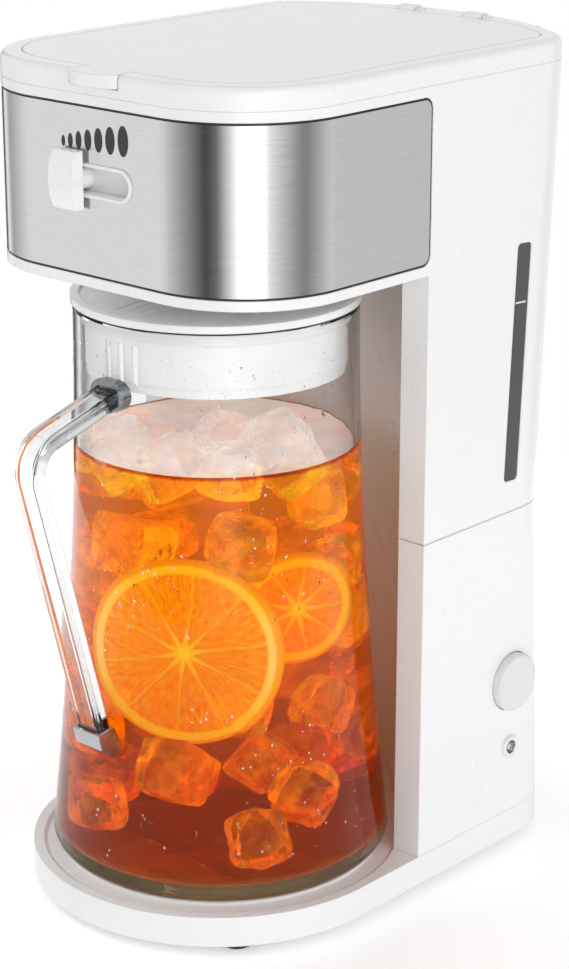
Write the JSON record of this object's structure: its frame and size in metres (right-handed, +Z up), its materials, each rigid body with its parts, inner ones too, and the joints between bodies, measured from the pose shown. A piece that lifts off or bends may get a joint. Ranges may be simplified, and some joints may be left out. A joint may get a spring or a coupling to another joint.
{
  "type": "iced tea maker",
  "caption": "Column-shaped iced tea maker with a hinged tank lid, a strength selector on a steel band, and a flared glass pitcher with a bar handle on a round-fronted base.",
  "frame": {"origin": "middle of the footprint's bounding box, at the table under the rubber feet", "axes": "+Z up, -Y to the front where the pitcher's handle points, +X to the right side with the button"},
  "size_m": [0.1741, 0.2732, 0.374],
  "materials": {
    "white_plastic": "gloss",
    "button_plastic": "gloss",
    "grey_plastic": "satin",
    "basket_plastic": "satin",
    "black_plastic": "satin",
    "print_ink": "matte",
    "mark_ink": "matte",
    "smoke_plastic": "gloss",
    "clear_plastic": "gloss",
    "skirt_plastic": "satin",
    "glass": "gloss",
    "steel": "satin",
    "chrome": "polished",
    "dark_chrome": "polished",
    "cast_aluminium": "cast",
    "rubber": "matte",
    "silicone": "matte",
    "board": "satin",
    "ceramic": "matte"
  },
  "bodies": {
    "stand": {"base_plate": "white_plastic", "bottom_cover": "white_plastic", "rubber_feet": "rubber", "cover_screws": "steel", "lower_housing": "white_plastic", "housing_screws": "steel", "heater_body": "cast_aluminium", "heater_bracket": "steel", "thermostat": "ceramic", "thermal_fuse": "ceramic", "inlet_hose": "silicone", "riser_tube": "silicone", "button_sleeve": "grey_plastic", "brew_switch": "black_plastic", "indicator_bezel": "chrome", "indicator_lens": "clear_plastic", "indicator_board": "board", "cord_gland": "rubber", "upper_housing": "white_plastic", "tank_valve": "grey_plastic", "tank_strainer": "grey_plastic", "riser_grommet": "rubber", "level_window": "smoke_plastic", "level_mark": "mark_ink", "steel_band": "steel", "band_gasket": "black_plastic", "strength_marks": "print_ink", "selector_bezel": "white_plastic", "gate_rails": "grey_plastic", "brew_basket": "basket_plastic", "filter_screen": "steel", "lid_frame": "white_plastic", "hinge_pins": "steel"},
    "lid": {"lid_panel": "white_plastic", "lid_duct": "basket_plastic", "shower_head": "basket_plastic"},
    "selector": {"strength_knob": "white_plastic", "selector_shoe": "basket_plastic", "bypass_gate": "basket_plastic"},
    "button": {"brew_button": "button_plastic"},
    "pitcher": {"pitcher_glass": "glass", "pitcher_handle": "clear_plastic", "handle_escutcheon": "dark_chrome", "handle_clip": "chrome"},
    "pitcher_top": {"pitcher_lid": "white_plastic", "strainer_skirt": "skirt_plastic", "lid_gasket": "rubber"}
  },
  "joints": [
    {"name": "lid_hinge", "type": "hinge", "parent": "stand", "child": "lid", "pos_m": [-0.00205, 0.1264, 0.37], "axis": [-1, 0, 0], "range_deg": [0, 95]},
    {"name": "strength_slide", "type": "slide", "parent": "stand", "child": "selector", "axis": [1, 0, 0], "range_m": [0, 0.024]},
    {"name": "brew_press", "type": "slide", "parent": "stand", "child": "button", "axis": [-1, 0, 0], "range_m": [0, 0.002], "stiffness_N_per_m": 400, "springref_m": -0.001},
    {"name": "pitcher_slide", "type": "slide", "parent": "stand", "child": "pitcher", "axis": [0, -1, 0], "range_m": [0, 0.17]},
    {"name": "pitcher_lid_turn", "type": "hinge", "parent": "pitcher", "child": "pitcher_top", "pos_m": [-0.00205, -0.0236, 0.2681], "axis": [0, 0, 1], "range_deg": [0, 180]}
  ]
}
